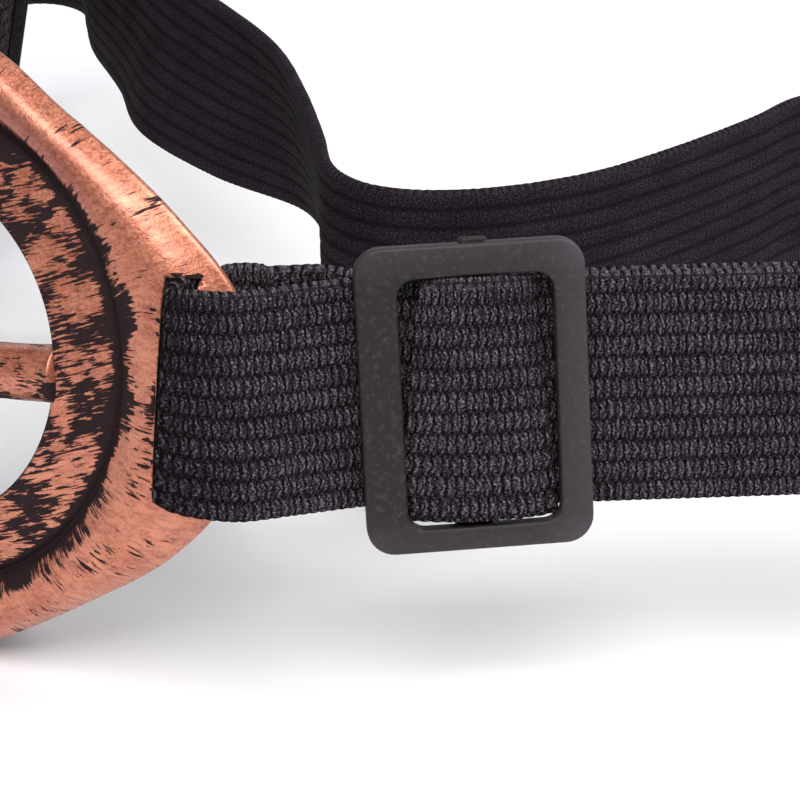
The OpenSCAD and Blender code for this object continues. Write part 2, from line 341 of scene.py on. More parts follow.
class Graph:
    """A thin helper that adds shader nodes and wires them by socket name."""

    def __init__(self, tree: bpy.types.NodeTree) -> None:
        self.tree = tree

    def feed(self, node: bpy.types.Node, inputs: dict) -> bpy.types.Node:
        """Fills a node's inputs.

        Args:
            node: the node.
            inputs: values or output sockets, keyed by socket name or, as i0,
                i1 and so on, by socket number.

        Returns:
            The node.
        """
        for key, value in inputs.items():
            slot = node.inputs[int(key[1:]) if key[0] == "i" and key[1:].isdigit() else key]
            if isinstance(value, bpy.types.NodeSocket):
                self.tree.links.new(value, slot)
            else:
                slot.default_value = value
        return node

    def add(self, kind: str, settings: dict | None = None, **inputs) -> bpy.types.Node:
        """Adds a node.

        Args:
            kind: the node's type name without its ShaderNode prefix.
            settings: node properties.
            **inputs: what feed takes.

        Returns:
            The node.
        """
        name = kind if kind.startswith("NodeGroup") else "ShaderNode" + kind
        node = self.tree.nodes.new(name)
        for key, value in (settings or {}).items():
            setattr(node, key, value)
        return self.feed(node, inputs)

    def math(self, op: str, a, b=0.0, c=0.0, clamp: bool = False) -> bpy.types.NodeSocket:
        """A maths node's output."""
        return self.add("Math", {"operation": op, "use_clamp": clamp}, i0=a, i1=b, i2=c).outputs[0]

    def mul(self, a, b, plus=None) -> bpy.types.NodeSocket:
        """The product of a and b, with plus added where it is given."""
        return self.math("MULTIPLY", a, b) if plus is None else self.math("MULTIPLY_ADD", a, b, plus)

    def wave(self, value, pitch: float) -> bpy.types.NodeSocket:
        """A cosine that repeats at every pitch of a value."""
        return self.math("COSINE", self.mul(value, 2 * math.pi / pitch))

    def noise(self, vector, scale: float, detail: float = 4, rough: float = 0.55):
        """A noise texture's value."""
        inputs = {"Vector": vector, "Scale": scale, "Detail": detail, "Roughness": rough}
        return self.add("TexNoise", None, **inputs).outputs["Fac"]

    def streaks(self, vector, scale: tuple, *noise: float, offset: tuple = (0, 0, 0)):
        """Noise whose grains are drawn out, from a vector scaled along each axis."""
        return self.noise(self.scaled(vector, scale, offset), 1.0, *noise)

    def scaled(self, vector, scale: tuple, offset: tuple = (0, 0, 0)):
        """A vector multiplied along each axis."""
        return self.add("Mapping", None, Vector=vector, Scale=scale, Location=offset).outputs[0]

    def ramp(self, value, low: float, high: float, out: tuple = (0.0, 1.0)):
        """A smooth map of a value between two limits."""
        kind = {"interpolation_type": "SMOOTHSTEP"}
        return self.add("MapRange", kind, i0=value, i1=low, i2=high, i3=out[0], i4=out[1]).outputs[0]

    def mix(self, factor, a, b):
        """A mix of two colours."""
        return self.add("Mix", {"data_type": "RGBA"}, i0=factor, i6=a, i7=b).outputs[2]

    def lay(self):
        """The piece's own millimetre coordinates."""
        return self.add("UVMap", {"uv_map": "lay"}).outputs[0]

    def place(self):
        """The piece's own place in space, metres."""
        return self.add("TexCoord").outputs["Object"]

    def attribute(self, name: str):
        """A point attribute's value."""
        return self.add("Attribute", {"attribute_name": name}).outputs["Fac"]


def group(name: str, inputs: dict, output: str) -> tuple:
    """Starts a shader node group.

    Args:
        name: the group's name.
        inputs: socket types by name.
        output: the name of the number it gives.

    Returns:
        Its Graph, the node that takes its result, and its inputs in order.
    """
    tree = bpy.data.node_groups.new(name, "ShaderNodeTree")
    for way, sockets in (("INPUT", inputs), ("OUTPUT", {output: "Float"})):
        for key, kind in sockets.items():
            tree.interface.new_socket(key, in_out=way, socket_type="NodeSocket" + kind)
    graph = Graph(tree)
    start, end = graph.add("NodeGroupInput"), graph.add("NodeGroupOutput")
    return graph, end, *(start.outputs[key] for key in inputs)


def strokes_group() -> bpy.types.NodeTree:
    """Dry-brush strokes: fine streaks along V whose cover grows with Density."""
    g, end, lay, density = group("dry_brush", {"Lay": "Vector", "Density": "Float"}, "Mask")
    fine = g.streaks(lay, (3.4, 0.38, 1), 4, 0.6)
    bent = g.streaks(lay, (1.1, 0.3, 1), 3, 0.55, offset=(7, 3, 0))
    blot = g.streaks(lay, (0.22, 0.2, 1), 2, 0.5, offset=(1, 9, 0))
    level = g.mul(blot, 1.0, g.mul(bent, 0.4, g.mul(fine, 1.2)))
    mask = g.ramp(g.math("ADD", level, g.mul(density, 0.7, -1.63)), -0.02, 0.035)
    g.feed(end, {"Mask": mask})
    return g.tree


def knit_group() -> bpy.types.NodeTree:
    """Slanted strands in rows, from millimetre coordinates along and across; as colour, painted light
    on the strands and painted shade in the gaps.

    Ribs from 0 to 1 fades the strands into plain long ribs.
    """
    g, end, lay, ribs = group("knit", {"Lay": "Vector", "Ribs": "Float"}, "Value")
    place = g.add("SeparateXYZ", None, Vector=lay)
    along, across = place.outputs[0], place.outputs[1]
    rows = g.mul(across, ROWS / STRAP_WIDTH, ROWS / 2)
    off = g.math("ABSOLUTE", g.math("SUBTRACT", g.math("FRACT", rows), 0.5))
    turn = g.mul(g.math("MODULO", g.math("FLOOR", rows), 2.0), 0.5)
    wander = g.streaks(lay, (1.3, 1.5, 1), 3)
    phase = g.mul(along, 1 / 0.55, g.mul(off, 1.7))
    phase = g.math("ADD", phase, g.mul(wander, 1.7, turn))
    strand = g.ramp(g.wave(phase, 1), -0.9, 0.9, (0.25, 1.0))
    shift = g.math("ADD", along, g.mul(wander, 0.8, g.mul(turn, 0.8)))
    strand = g.mul(strand, g.ramp(g.wave(shift, 0.9), -1.0, -0.2, (0.12, 1.0)))
    row = g.ramp(off, 0.48, 0.26, (0.4, 1.0))
    strand = g.mul(strand, g.mul(ribs, -1.0, 1.0), g.mul(ribs, 0.5))
    g.feed(end, {"Value": g.mul(strand, row)})
    return g.tree


def grain_group() -> bpy.types.NodeTree:
    """Fine surface grain for bump, at a pitch given in metres per grain."""
    g, end, pitch = group("grain", {"Pitch": "Float"}, "Height")
    g.feed(end, {"Height": g.noise(g.place(), g.math("DIVIDE", 1.0, pitch), 3.0, 0.6)})
    return g.tree


@dataclass(frozen=True)
class Finish:
    """One material's plain numbers: linear RGB, and a grain pitch in metres."""

    name: str
    colour: tuple
    dark: tuple
    rough: float = 0.5
    metal: float = 0.0
    coat: float = 0.0
    bump: float = 0.2
    pitch: float = 0.0004


COPPER_PAINT = Finish(
    "copper_moulding", (0.50, 0.145, 0.078), (0.0052, 0.0055, 0.0088), rough=0.33, metal=0.6,
    coat=0.5, bump=0.5, pitch=0.0004,
)
# both elastics: colour is the painted light on the knit's crests, dark the painted shade in its gaps
ELASTIC = Finish(
    "woven_elastic", (0.125, 0.106, 0.124), (0.0040, 0.0026, 0.0038), rough=0.8, bump=0.9,
)
REAR_ELASTIC = Finish(
    "rear_elastic", (0.036, 0.026, 0.035), (0.010, 0.0075, 0.0105), rough=0.85, bump=0.5,
)
# dark is lighter than colour here: it is the painted light on the slider's lit parts and its light
# specks
PLASTIC = Finish(
    "slider_plastic", (0.010, 0.007, 0.0085), (0.060, 0.048, 0.057), bump=0.6, pitch=0.00022,
)
METAL = Finish(
    "copper_metal", (0.70, 0.36, 0.23), (0.16, 0.07, 0.04), rough=0.3, metal=1.0, bump=0.1,
    pitch=0.0006,
)
RING = Finish(
    "black_ring", (0.022, 0.022, 0.024), (0.012, 0.012, 0.013), rough=0.38, bump=0.12,
)
RUBBER = Finish(
    "bridge_rubber", (0.024, 0.023, 0.026), (0.013, 0.012, 0.014), rough=0.6, pitch=0.0005,
)
PAD = Finish(
    "soft_pad", (0.02, 0.02, 0.022), (0.008, 0.008, 0.009), rough=0.9, bump=0.6, pitch=0.0007,
)


def of_type(owner: bpy.types.Material | bpy.types.World, kind: str) -> bpy.types.Node:
    """The first node of a type in a material or a world."""
    return next(n for n in owner.node_tree.nodes if n.type == kind)


class Paintbox:
    """Makes each procedural material once and hands it out by finish."""

    def __init__(self) -> None:
        self.strokes = strokes_group()
        self.grain = grain_group()
        self.knit = knit_group()
        self.made: dict = {}

    def start(self, name: str) -> tuple:
        """A new material, its Graph and its shader."""
        material = bpy.data.materials.new(name)
        material.use_nodes = True
        return material, Graph(material.node_tree), of_type(material, "BSDF_PRINCIPLED")

    def bump(self, g: Graph, shader, height, strength: float, distance: float) -> None:
        """Wires a height into a shader's normal."""
        node = g.add("Bump", None, Strength=strength, Distance=distance, Height=height)
        g.tree.links.new(node.outputs[0], shader.inputs["Normal"])

    def grains(self, g: Graph, pitch: float):
        """The grain group's height output."""
        return g.add("Group", {"node_tree": self.grain}, Pitch=pitch).outputs["Height"]

    def get(self, finish: Finish) -> bpy.types.Material:
        """The material of a finish, made on first use.

        Args:
            finish: the plain numbers.

        Returns:
            The material.
        """
        if finish.name not in self.made:
            maker = {
                "copper_moulding": self.copper_paint,
                "woven_elastic": self.elastic,
                "rear_elastic": self.elastic,
            }.get(finish.name, self.plain)
            self.made[finish.name] = maker(finish)
        return self.made[finish.name]

    def copper_paint(self, f: Finish) -> bpy.types.Material:
        """Mottled copper paint under black dry-brush strokes and stray flecks.

        Inside the groove the strokes follow the brush's own coordinates, kept
        as two point attributes; elsewhere they follow the piece's lay.
        """
        material, g, shader = self.start(f.name)
        brush = g.add("CombineXYZ", None, X=g.attribute("brush_u"), Y=g.attribute("brush_v"))
        ways = {"i0": g.attribute("cone"), "i4": g.lay(), "i5": brush.outputs[0]}
        lay = g.add("Mix", {"data_type": "VECTOR"}, **ways).outputs[1]
        strokes = {"node_tree": self.strokes}
        mask = g.add("Group", strokes, Lay=lay, Density=g.attribute("dens")).outputs["Mask"]
        place = g.place()
        fleck = g.ramp(g.streaks(place, (900, 900, 2100), 2, 0.6), 0.69, 0.735)
        where = g.ramp(g.noise(place, 160.0, 3), 0.48, 0.62)
        mask = g.math("MAXIMUM", mask, g.mul(fleck, where))
        broad = g.noise(place, 210.0, 4, 0.6)
        grain = g.noise(place, 2600.0, 3, 0.7)
        stain = g.noise(g.scaled(place, (1, 1, 2.2)), 700.0, 3, 0.6)
        warm = g.mix(g.ramp(broad, 0.36, 0.64), (*f.colour, 1), (0.60, 0.215, 0.12, 1))
        warm = g.mix(g.ramp(stain, 0.48, 0.66, (0.0, 0.65)), warm, (0.33, 0.085, 0.05, 1))
        streak = g.streaks(lay, (2.4, 0.42, 1), 3, 0.6, offset=(3, 9, 0))
        warm = g.mix(g.ramp(streak, 0.44, 0.6, (0.0, 0.5)), warm, (0.28, 0.062, 0.032, 1))
        warm = g.mix(g.ramp(grain, 0.42, 0.62, (0.0, 0.3)), warm, (0.70, 0.33, 0.22, 1))
        # brown darkening: a reddish band beside the groove, and painted shade on the hole's edge
        warm = g.mix(g.attribute("stain"), warm, (0.20, 0.055, 0.045, 1))
        colour = g.mix(g.mul(mask, 0.97), warm, (*f.dark, 1))
        rough = g.ramp(grain, 0.35, 0.65, (f.rough * 0.75, f.rough * 1.35))
        g.feed(shader, {
            "Base Color": colour,
            "Roughness": g.mul(mask, 0.25, rough),
            "Metallic": g.ramp(mask, 0, 1, (f.metal, 0.0)),
            "Specular IOR Level": g.ramp(mask, 0, 1, (0.5, 0.1)),
            "Coat Weight": g.ramp(mask, 0, 1, (f.coat, 0.0)),
            "Coat Roughness": 0.2,
        })
        height = g.mul(mask, 0.35, self.grains(g, f.pitch))
        height = g.mul(stain, 0.8, height)
        self.bump(g, shader, height, f.bump, 0.00012)
        return material

    def elastic(self, f: Finish) -> bpy.types.Material:
        """Dark yarn with painted light and shade: the knit's crests are painted lighter, with painted
        glints, and its gaps painted black as shade.
        """
        material, g, shader = self.start(f.name)
        # painted light and shade: the weave's height, crests lighter and hollows darker
        rise = g.attribute("rise")
        ribs = 0.75 if f is REAR_ELASTIC else 0.0
        knit = g.add("Group", {"node_tree": self.knit}, Lay=g.lay(), Ribs=ribs).outputs["Value"]
        fibre = g.streaks(g.lay(), (4.2, 4.0, 1), 3, 0.75)
        patch = g.streaks(g.lay(), (0.12, 0.3, 1), 2)
        level = g.mul(knit, g.ramp(fibre, 0.4, 0.62, (0.03, 1.6)))
        level = g.mul(level, g.ramp(rise, 0.1, 0.8, (0.35, 1.0)))
        level = g.mul(level, g.math("SUBTRACT", 1.0, g.attribute("calm")))
        level = g.mul(level, g.ramp(patch, 0.3, 0.7, (0.75, 1.2)))
        place = g.add("SeparateXYZ", None, Vector=g.lay())
        wave = g.wave(place.outputs[0], STITCH)
        # painted highlight: the stitch beads along the strap's upper edge lit up, as by light from
        # above
        bead = g.mul(g.ramp(wave, -0.1, 0.7), g.ramp(place.outputs[1], 11.7, 12.2))
        bead = g.mul(bead, g.ramp(fibre, 0.38, 0.6, (0.15, 0.75)))
        level = g.math("MAXIMUM", level, bead, clamp=True)
        colour = g.mix(level, (*f.dark, 1), (*f.colour, 1))
        # painted glints: light specks on the raised fibres of the crests
        glint = g.mul(g.ramp(fibre, 0.6, 0.72), g.ramp(level, 0.35, 0.9, (0.0, 0.9)))
        colour = g.mix(glint, colour, (*(min(1.0, 3.4 * c) for c in f.colour), 1))
        gloss = g.mul(level, 0.3)
        g.feed(shader, {"Base Color": colour, "Roughness": f.rough, "Specular IOR Level": gloss})
        height = g.mul(fibre, 0.35, knit)
        self.bump(g, shader, height, f.bump, 0.00022)
        return material

    def plain(self, f: Finish) -> bpy.types.Material:
        """A grained solid with faint handling marks in colour and gloss, and painted light on the
        slider frame's lit parts.
        """
        material, g, shader = self.start(f.name)
        place = g.place()
        cloud = g.noise(place, 160.0, 4)
        fleck = g.noise(place, 0.35 / f.pitch, 2)
        worn = (*(0.82 * c for c in f.colour), 1)
        colour = g.mix(g.ramp(cloud, 0.3, 0.7), (*f.colour, 1), worn)
        # painted light: towards the second colour, lighter on the slider plastic, where the frame's
        # attribute asks
        colour = g.mix(g.attribute("painted_light"), colour, (*f.dark, 1))
        # specks of the second colour: dark flecks on most finishes; on the slider plastic light
        # specks, partly grain and partly painted glints
        colour = g.mix(g.ramp(fleck, 0.5, 0.75, (0.0, 0.5)), colour, (*f.dark, 1))
        g.feed(shader, {
            "Base Color": colour,
            "Roughness": g.ramp(cloud, 0.35, 0.7, (f.rough * 0.85, f.rough * 1.15)),
            "Metallic": f.metal,
            "Specular IOR Level": 0.5 if f.metal else 0.3,
        })
        self.bump(g, shader, self.grains(g, f.pitch), f.bump, 0.00008)
        return material

    def glass(self) -> bpy.types.Material:
        """Clear moulded lens with a trace of dust."""
        if "glass" not in self.made:
            material, g, shader = self.start("clear_lens")
            place = g.place()
            dust = g.ramp(g.noise(place, 900.0, 5), 0.55, 0.8, (0.02, 0.12))
            tint = (0.97, 0.985, 0.99, 1)
            looks = {"Base Color": tint, "Roughness": dust, "Transmission Weight": 1.0, "IOR": 1.47}
            g.feed(shader, looks)
            self.made["glass"] = material
        return self.made["glass"]


# ------------------------------------------------------------------ eyecups


# the outline's radius at every 15 degrees from the temple to the nose, mm
RIM_TOP = (41.5, 40.5, 37, 34.3, 33.2, 34.5, 36, 36.9, 37.4, 37.5, 37.2, 36.7, 36.3)
RIM_LOW = (41.5, 40.6, 38, 35.3, 34.6, 35.6, 36.5, 37.3, 37.8, 37.9, 37.5, 36.9, 36.3)

# how far the black paint reaches past the groove, mm, by angle
SKIRT = (
    (-180, 1.5), (-120, 2.2), (-90, 2.6), (-60, 2.8), (-40, 2.4), (-25, 1.7), (-17, 0.3),
    (-8, 1.9), (5, 2.4), (20, 3.1), (32, 2.6), (45, 1.3), (60, 0.9), (75, 0.7), (90, 1.2),
    (120, 2.0), (180, 1.5),
)


@dataclass
class Eyecup:
    """One moulded eyecup: front plate, cross, tube and its fitted parts."""

    BACK_FROM: ClassVar[int] = 60  # the section's points from here on face backwards
    BRUSH_TURN: ClassVar[float] = 17  # which way the cone was brushed, degrees
    PLATE_R: ClassVar[float] = 25  # where the plate's lay is true to size, mm
    TURN_R: ClassVar[float] = 28  # the same for the tube and the pad

    side: Side
    paints: Paintbox
    hole_r: float = 20.0
    groove_r: float = 27.5
    rise: float = 2.1
    border: float = 1.9
    wall: float = 2.4
    bar_r: float = 3.1
    turn: float = 8.0
    drop: float = 2.9
    bar_depth: float = 2.5
    tube_r: float = 28.3
    tube_back: float = 10.5
    slot: tuple = (32.7, -11.6, 3.0, 24.7)

    @property
    def cup(self) -> CupFrame:
        """Where this eyecup stands."""
        return CUPS[self.side]

    def rim(self, angle: np.ndarray) -> np.ndarray:
        """Outline radius at an angle in degrees, by a curve through the table."""
        table = np.array(RIM_TOP + RIM_LOW[-2:0:-1])
        w = (angle % 360) / 15
        i = np.floor(w).astype(int)
        return catmull(*(table[(i + k) % 24] for k in (-1, 0, 1, 2)), w - i)

    def swept(self, r: np.ndarray, angle: np.ndarray) -> np.ndarray:
        """How far the border lies back beyond the groove."""
        d = np.maximum(0, r - self.groove_r) * np.cos(np.radians(angle))
        return np.where(d > 0, -0.1 * d - 0.014 * d * d, -0.03 * d * d)

    def section(self, w: np.ndarray) -> np.ndarray:
        """The plate's closed section, as radius and forward, for border widths w.

        Each row is a radius, the share of the border's width added to it, and
        how far forward it lies.
        """
        h, g, k, b, t = self.hole_r, self.groove_r, -self.rise, self.border, self.wall
        rows = (
            (h, 0, -0.5), (h + 0.25, 0, -0.12), (h + 0.7, 0, 0), (h + 2, 0, 0.2 * k),
            (h + 3.6, 0, 0.42 * k), (h + 5.4, 0, 0.72 * k), (g - 0.75, 0, k + 0.12),
            (g - 0.4, 0, k - 0.1), (g, 0, k - 0.45), (g + 0.4, 0, k), (g + 0.75, 0, k + 0.5),
            (g, 0.28, k + 0.85 * b), (g, 0.4, k + 0.96 * b), (g, 0.52, k + b),
            (g, 0.66, k + 0.9 * b), (g, 0.8, k + 0.62 * b), (g, 0.93, k + 0.05),
            (g - 0.1, 1, k - 0.7), (g, 1, k - 1.15), (g - 0.12, 1, k - 1.7),
            (g - 0.5, 1, k - 2.1), (g - 1.2, 1, k - 2.3), (g, 0.5, k - 0.95),
            (g + 0.1, 0, k - t - 0.25), (h + 3.6, 0, 0.42 * k - t), (h + 0.5, 0, -t - 0.3),
            (h, 0, -t - 0.1), (h, 0, -1.3),
        )
        return np.stack([np.stack([r + share * w, f + 0 * w], -1) for r, share, f in rows], -2)

    def shell(self) -> bpy.types.Object:
        """The front plate.

        The closed section is swept once round the opening while its outer part
        follows the rim table; the slot is then cut through it.
        """
        angle = np.linspace(0, 360, 420, endpoint=False)
        sec = closed_curve(self.section(self.rim(angle) - self.groove_r), 3)
        r = sec[..., 0]
        a = angle[:, None] + 0 * r
        x, y = r * np.cos(np.radians(a)), r * np.sin(np.radians(a))
        lumps = 0.03 * smooth_noise(x * 0.35, y * 0.35, 3)
        pts = self.cup.place(np.stack([x, y, sec[..., 1] + self.swept(r, a) + lumps], -1))
        pts[..., 2] = np.maximum(pts[..., 2], 0.0)
        brush_v, brush_u = turned(x, y, -self.BRUSH_TURN)
        bend = 1.5 * smooth_noise(x * 0.12, y * 0.12, 9)
        values = self.paint(r, a, x, y) | {"brush_u": brush_u + bend, "brush_v": brush_v}
        warp = 0.5 * smooth_noise(a * 0.12, r * 0.4, 5)
        uv = np.stack([np.radians(a) * self.PLATE_R + warp, r + 0 * a], -1)
        wrap = (2 * math.pi * self.PLATE_R, 0)
        grid = Grid(pts, uv, close_rows=True, wrap=wrap, values=values)
        plate = grid.build(f"{self.side.label}_cup_plate", self.paints.get(COPPER_PAINT))
        cut_box(plate, self.cup, self.slot, self.paints.get(RING))
        return plate

    def paint(self, r: np.ndarray, a: np.ndarray, x: np.ndarray, y: np.ndarray) -> dict:
        """How the plate is painted.

        Args:
            r: radius of each point, mm.
            a: angle, degrees.
            x: distance to the temple, mm.
            y: distance up, mm.

        Returns:
            The paint's density, the brown darkening and the share of brush marks.
        """
        over = r - self.groove_r
        way = (a + 180) % 360 - 180
        reach = np.interp(way, *np.array(SKIRT).T) + 0.35 * smooth_noise(a * 0.3, 0 * r, 11)
        skirt = ramp(over, reach + 1.1, reach - 0.7) * ramp(over, -0.6, 0.1)
        cone = (over < 0).astype(float)
        dens = 0.2 + 0.26 * cone + 0.7 * np.exp(-((over / 0.72) ** 2)) + 0.42 * skirt
        dens += cone * (0.06 * ramp(r, 24.5, 27) + 0.06 * smooth_noise(a * 0.05, r * 0.2, 4))
        # painted shade: denser black on the hole's edge, where the wall's thickness lies in shade
        dens += 0.3 * ramp(r, self.hole_r + 0.3, self.hole_r + 0.05)
        # a dark line round the slot, and a dark spot over its upper end
        beside = np.maximum(np.abs(x - 34.2) - 1.5, np.abs(y - 0.85) - 12.45)
        dens += 0.8 * ramp(beside, 0.22, 0.02) * ramp(r, 28, 30)
        dark_spot = np.hypot((x - 33.0) / 0.8, (y - 13.4) / 0.7)
        dens += 0.4 * ramp(dark_spot, 1.4, 0.3)
        dens[:, self.BACK_FROM :] = 0.62
        # a darker reddish band on the border past the groove, over the upper side
        stain = 0.6 * np.exp(-(((over - 2.4) / 1.6) ** 2)) * ramp(way, 20, 55)
        # painted shade: the hole's edge darkened, where its wall lies in shade
        stain += 0.75 * ramp(r, self.hole_r + 0.55, self.hole_r + 0.15)
        return {"dens": dens, "stain": np.clip(stain, 0, 0.8), "cone": cone}

    def bar(self, name: str, angle: float, shift: float) -> bpy.types.Object:
        """One bar of the cross, a round rod that flares where it meets the cone.

        Args:
            name: the piece's name.
            angle: direction in the cup's plane, degrees.
            shift: sideways offset from the centre, mm.

        Returns:
            The bar.
        """
        half = math.sqrt(self.hole_r**2 - shift**2)
        t = span(-half - 0.9, half + 0.9, 0.16)
        edge = half - np.abs(t)
        flare = 0.55 * np.exp(-np.maximum(edge, 0) / 0.42) + 0.12 * np.exp(-np.maximum(edge, 0) / 1.6)
        shrink = np.sqrt(np.clip(1 - (np.maximum(-edge, 0) / 0.95) ** 2, 0.02, 1))
        radius = (self.bar_r + flare) * shrink
        q = np.radians(np.linspace(0, 360, 72, endpoint=False))
        tt, qq = np.meshgrid(t, q, indexing="ij")
        rr = radius[:, None] + 0.05 * smooth_noise(tt * 0.5, qq * 2, 21)
        off = rr * np.cos(qq) + shift
        fwd = rr * np.sin(qq) * 0.98 - self.bar_depth - 0.4 * ramp(-edge, -0.5, 0.9)[:, None]
        pts = self.cup.place(np.stack([*turned(tt, off, angle), fwd], -1))
        low = ramp(-np.cos(qq), -0.1, 0.75)
        if abs(angle) > 45:
            low = 0.6 * ramp(np.abs(np.cos(qq)), 0.5, 1)
        dens = 0.36 + 0.16 * low + 0.06 * smooth_noise(tt * 0.3, qq, 8)
        # painted shade: denser black on the underside where the bar meets the cone, in that corner's
        # shade
        dens += 0.3 * np.exp(-np.abs(edge) / 0.5)[:, None] * ramp(-np.cos(qq), -0.4, 0.6)
        dens = np.where(fwd < -3.6, 0.6, dens)
        uv = np.stack([qq * self.bar_r, tt * 1.3], -1)
        wrap = (0, 2 * math.pi * self.bar_r)
        grid = Grid(pts, uv, wrap=wrap, cap_rows=True, values={"dens": dens})
        return grid.build(name, self.paints.get(COPPER_PAINT))

    def revolve(self, name: str, section: np.ndarray, finish: Finish, dens=0.5):
        """A closed section turned round the cup's axis.

        Args:
            name: the piece's name.
            section: radius and forward pairs.
            finish: its material's numbers.
            dens: paint density.

        Returns:
            The turned piece, cut flat where it would pass the floor.
        """
        angle = np.radians(np.linspace(0, 360, 240, endpoint=False))
        a, r = np.meshgrid(angle, section[:, 0], indexing="ij")
        f = np.broadcast_to(section[:, 1], r.shape)
        pts = self.cup.place(np.stack([r * np.cos(a), r * np.sin(a), f], -1))
        pts[..., 2] = np.maximum(pts[..., 2], 0.0)
        uv = np.stack([a * self.TURN_R, np.broadcast_to(distances(section), r.shape)], -1)
        wrap, values = (2 * math.pi * self.TURN_R, 0), {"dens": dens + 0 * r}
        grid = Grid(pts, uv, close_rows=True, wrap=wrap, values=values)
        return grid.build(name, self.paints.get(finish))

    def tube(self) -> bpy.types.Object:
        """The tube behind the plate with the lens seat inside it."""
        k, r, b = -self.rise, self.tube_r, -self.tube_back
        sec = np.array([
            (r, k - 1.6), (r, k - 4), (r, b + 0.3), (r - 0.3, b), (r - 1.8, b), (r - 2.1, b + 0.3),
            (r - 2.1, -8), (r - 2.1, -5.4), (r - 2.4, -5.1), (23.1, -4.75), (23.0, -4.62),
            (21.3, -4.6), (21.2, -4.4), (21.2, -2.9), (24, -3.5), (self.groove_r, k - 1.7),
        ])
        return self.revolve(f"{self.side.label}_cup_tube", sec, COPPER_PAINT, 0.42)

    def pad(self) -> bpy.types.Object:
        """The soft ring on the back of the tube, plump and slightly uneven."""
        c, m = self.tube_r - 1.5, -self.tube_back - 1.5
        q = np.radians(np.linspace(0, 360, 40, endpoint=False))
        x = np.sign(np.cos(q)) * np.abs(np.cos(q)) ** 0.7 * 1.8
        y = np.sign(np.sin(q)) * np.abs(np.sin(q)) ** 0.7 * 1.5
        return self.revolve(f"{self.side.label}_pad", np.stack([c + x, m + y], -1), PAD)

    def make(self) -> None:
        """Builds every piece of this eyecup and hangs it on its body."""
        p = self.side.label
        shapes = [
            self.shell(),
            self.bar(f"{p}_cross_level", self.turn, -self.drop),
            self.bar(f"{p}_cross_upright", 90 + self.turn, 0.0),
            self.tube(),
        ]
        for obj in shapes:
            hang(obj, self.side.body, f"{p}_eyecup")
        pad = self.pad()
        hang(pad, self.side.body, f"{p}_face_pad")
        dress(f"{p}_lens", self.paints.glass(), bevel=0.25)
        dress(f"{p}_lens_ring", self.paints.get(RING), bevel=0.3)
        dress(f"{p}_bridge_rivets", self.paints.get(METAL), bevel=0.12)


def cut_box(obj: bpy.types.Object, cup: CupFrame, slot: tuple, dark: bpy.types.Material) -> None:
    """Cuts the strap slot through a mesh and keeps the result as its mesh.

    Args:
        obj: the plate.
        cup: the axes the slot is given in.
        slot: along, up, width and height of the slot, mm.
        dark: what the slot's walls are painted with.
    """
    x, y, w, h = slot
    ends = [(x + i * w, y + j * h, -20 + 30 * k) for i in (0, 1) for j in (0, 1) for k in (0, 1)]
    bm = bmesh.new()
    for p in cup.place(np.array(ends)) * MM:
        bm.verts.new(p)
    bmesh.ops.convex_hull(bm, input=bm.verts)
    mesh = bpy.data.meshes.new("slot_cutter")
    bm.to_mesh(mesh)
    bm.free()
    mesh.polygons.foreach_set("material_index", np.ones(len(mesh.polygons), np.int32))
    obj.data.materials.append(dark)
    mesh.materials.append(obj.data.materials[0])
    mesh.materials.append(dark)
    tool = show("slot_cutter", mesh)
    mod = obj.modifiers.new("slot", "BOOLEAN")
    mod.operation, mod.solver, mod.object = "DIFFERENCE", "EXACT", tool
    deps = bpy.context.evaluated_depsgraph_get()
    result = bpy.data.meshes.new_from_object(obj.evaluated_get(deps))
    obj.modifiers.clear()
    obj.data = result
    bpy.data.objects.remove(tool)
    LOG.info("%s: slot cut, %d faces", obj.name, len(result.polygons))


def hang(obj: bpy.types.Object, body: str | None, node: str) -> None:
    """Rides a piece on a body, where one is given, in a CAD node's place, and hides that node."""
    if body:
        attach(obj, body)
    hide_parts(node)


def dress(node: str, material: bpy.types.Material, bevel: float) -> None:
    """Gives a CAD node its material and softens its edges.

    Args:
        node: the CAD node's name.
        material: its finish.
        bevel: edge radius, mm.
    """
    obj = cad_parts[node]
    obj.data.materials.clear()
    obj.data.materials.append(material)
    mod = obj.modifiers.new("edge", "BEVEL")
    mod.width, mod.segments = bevel * MM, 2
    mod.limit_method, mod.angle_limit = "ANGLE", math.radians(40)
    LOG.info("%s: dressed as %s", node, material.name)


# -------------------------------------------------------------------- strap


